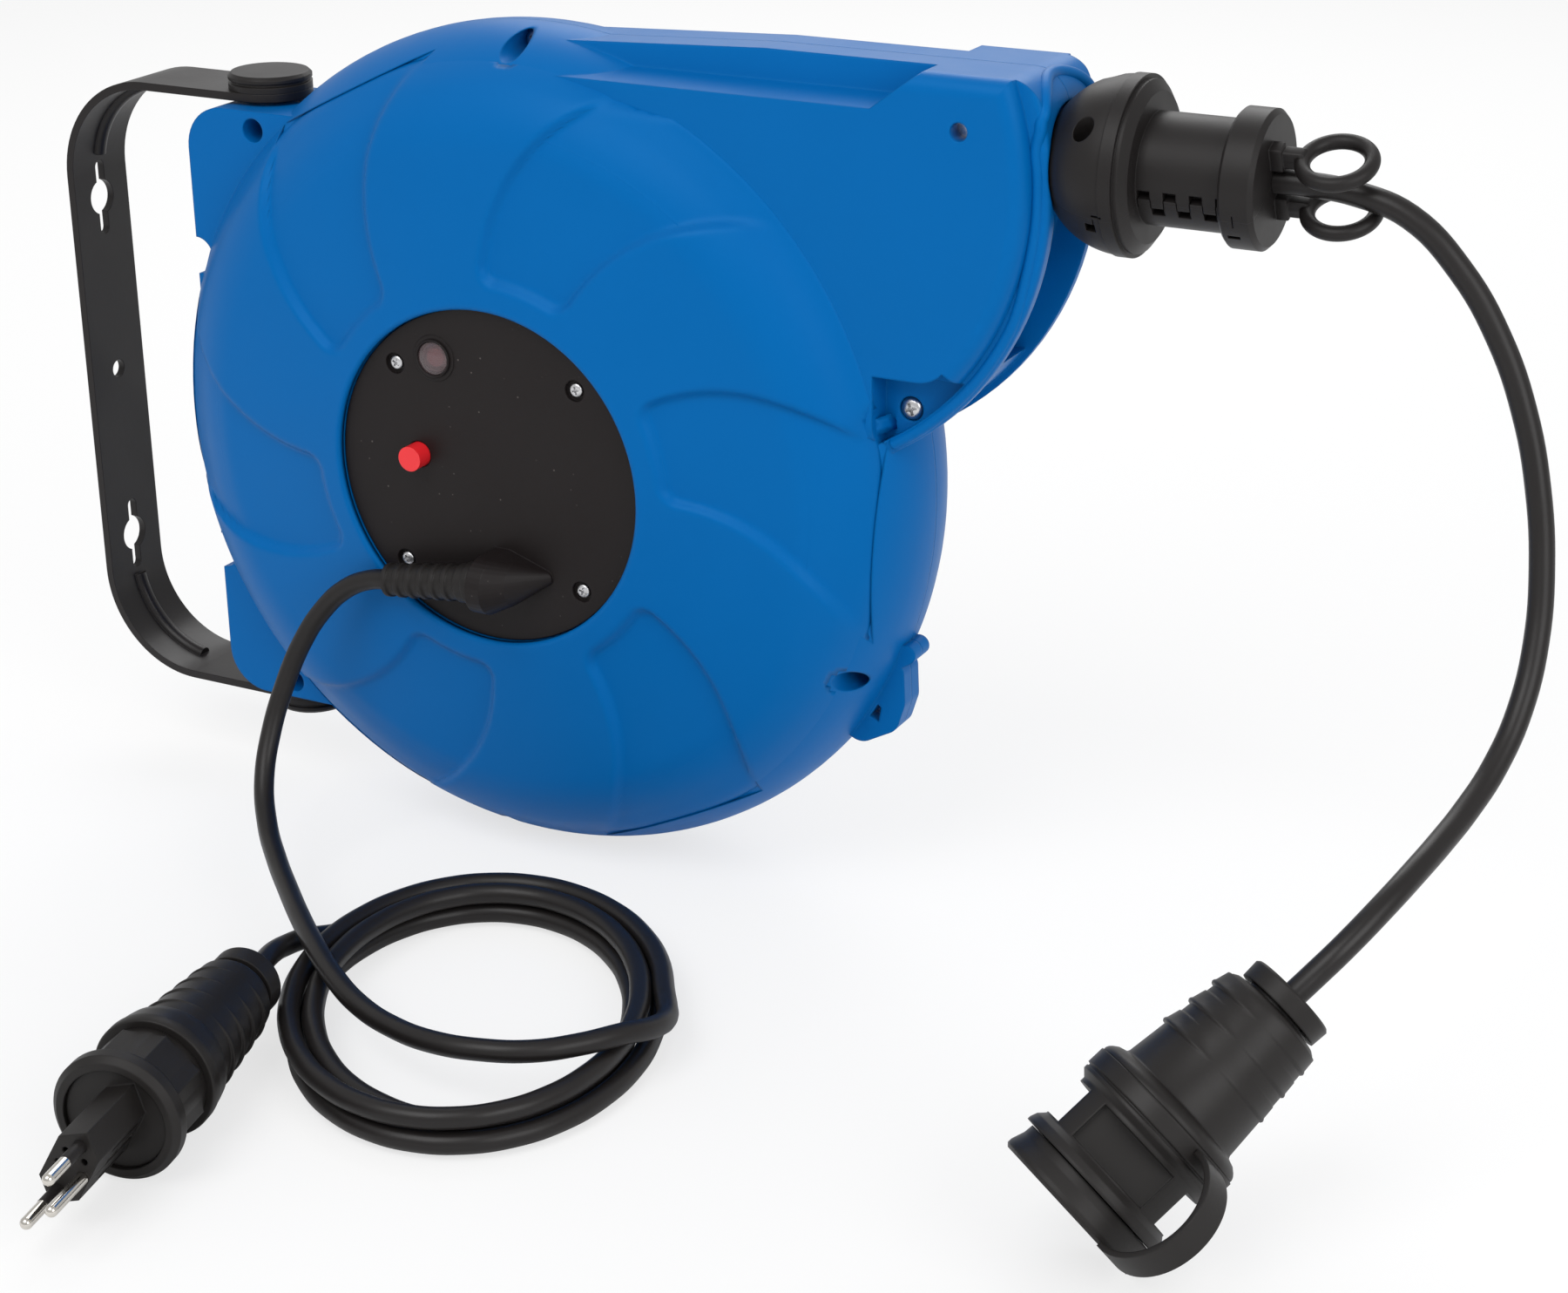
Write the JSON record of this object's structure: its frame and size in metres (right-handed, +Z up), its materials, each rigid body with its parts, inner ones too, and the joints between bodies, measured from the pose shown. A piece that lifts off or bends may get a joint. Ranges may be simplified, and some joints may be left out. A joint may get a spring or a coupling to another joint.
{
  "type": "extension cord reel",
  "caption": "Wall-mounted spring-retracting extension cord reel with swivelling casing, ratcheted cord drum, ball stop, capped connector and plug-in supply lead.",
  "frame": {"origin": "centre of the wall bracket's back face, on its middle screw hole", "axes": "+X forward from the wall, +Z up, -Y towards the face with the supply lead"},
  "size_m": [0.5798, 0.3862, 0.31],
  "materials": {
    "casing_blue": "satin moulded plastic",
    "bracket_black": "satin powder coat",
    "cap_black": "satin",
    "bush_white": "smooth",
    "bright_steel": "zinc plated",
    "plate_black": "fine grain",
    "lens_red": "clear tinted",
    "lamp_glass": "clear",
    "cutout_grey": "smooth",
    "button_red": "glossy",
    "terminal_cream": "smooth",
    "lead_blue": "smooth",
    "holder_brown": "moulded",
    "brush_carbon": "sintered",
    "drum_cream": "moulded",
    "bush_bronze": "sintered bronze",
    "ring_brass": "polished",
    "cover_steel": "rolled",
    "ratchet_dark": "moulded",
    "stop_black": "moulded satin",
    "cord_black": "smooth sheath",
    "rubber_black": "matt moulded",
    "pin_nickel": "nickel plated"
  },
  "bodies": {
    "bracket": {"wall_bracket": "bracket_black", "pivot_bushes": "bush_white", "pivot_caps": "cap_black"},
    "drum": {"drum_hub": "drum_cream", "near_flange": "drum_cream", "far_flange": "drum_cream", "flange_screws": "bright_steel", "drum_bushes": "bush_bronze", "wound_cord": "cord_black", "slip_ring_carrier": "holder_brown", "slip_rings": "ring_brass", "spring_cover": "cover_steel", "mainspring": "cover_steel", "ratchet_wheel": "ratchet_dark"},
    "cord_end": {"outlet_run": "cord_black", "stop_half_upper": "stop_black", "stop_half_lower": "stop_black", "stop_screws": "bright_steel", "outlet_cord": "cord_black", "connector_grip": "rubber_black", "connector_gland": "rubber_black", "connector_body": "rubber_black", "connector_contacts": "ring_brass", "connector_strap": "rubber_black"},
    "cap": {"connector_cap": "rubber_black"},
    "pawl": {"pawl": "bright_steel"},
    "button": {"reset_button": "button_red"},
    "upper_roller": {"roller_upper": "bush_white"},
    "lower_roller": {"roller_lower": "bush_white"},
    "casing": {"pivot_bolts": "bright_steel", "pivot_nuts": "bright_steel", "near_shell": "casing_blue", "far_shell": "casing_blue", "casing_screws": "bright_steel", "centre_plate": "plate_black", "plate_screws": "bright_steel", "far_hub_cover": "plate_black", "cover_screws": "bright_steel", "pilot_lens": "lens_red", "neon_lamp": "lamp_glass", "thermal_cutout": "cutout_grey", "terminal_block": "terminal_cream", "internal_leads": "lead_blue", "brush_holder": "holder_brown", "brushes": "brush_carbon", "main_axle": "bright_steel", "axle_nut": "bright_steel", "pawl_pin": "bright_steel", "pawl_spring": "bright_steel", "roller_pins": "bright_steel", "strain_relief": "rubber_black", "supply_lead": "cord_black", "supply_coil": "cord_black", "supply_tail": "cord_black", "plug_grip": "rubber_black", "plug_gland": "rubber_black", "plug_collar": "rubber_black", "plug_core": "rubber_black", "plug_pins": "pin_nickel"}
  },
  "joints": [
    {"name": "casing_swivel", "type": "hinge", "parent": "bracket", "child": "casing", "pos_m": [0.088, 0, 0], "axis": [0, 0, 1], "range_deg": [-90, 90]},
    {"name": "drum_spin", "type": "hinge", "parent": "casing", "child": "drum", "pos_m": [0.206, 0, 0], "axis": [0, 1, 0], "range_deg": [0, 75]},
    {"name": "cord_pull", "type": "slide", "parent": "casing", "child": "cord_end", "axis": [1, 0, 0], "range_m": [0, 0.166]},
    {"name": "cap_hinge", "type": "hinge", "parent": "cord_end", "child": "cap", "pos_m": [0.52118, -0.20999, -0.12609], "axis": [-0.4395, -0.4098, 0.7993], "range_deg": [0, 100], "deforming": ["connector_strap"]},
    {"name": "pawl_swing", "type": "hinge", "parent": "casing", "child": "pawl", "pos_m": [0.11098, 0, -0.06653], "axis": [0, 1, 0], "range_deg": [0, 14]},
    {"name": "button_press", "type": "slide", "parent": "casing", "child": "button", "axis": [0, 1, 0], "range_m": [0, 0.003], "stiffness_N_per_m": 400},
    {"name": "upper_roller_spin", "type": "hinge", "parent": "casing", "child": "upper_roller", "pos_m": [0.3794, 0, 0.1376], "axis": [0, 1, 0], "continuous": true},
    {"name": "lower_roller_spin", "type": "hinge", "parent": "casing", "child": "lower_roller", "pos_m": [0.3794, 0, 0.1144], "axis": [0, 1, 0], "continuous": true}
  ],
  "couplings": [
    {"joint": "cord_pull", "follows": "drum_spin", "m_per_rad": 0.126}
  ]
}
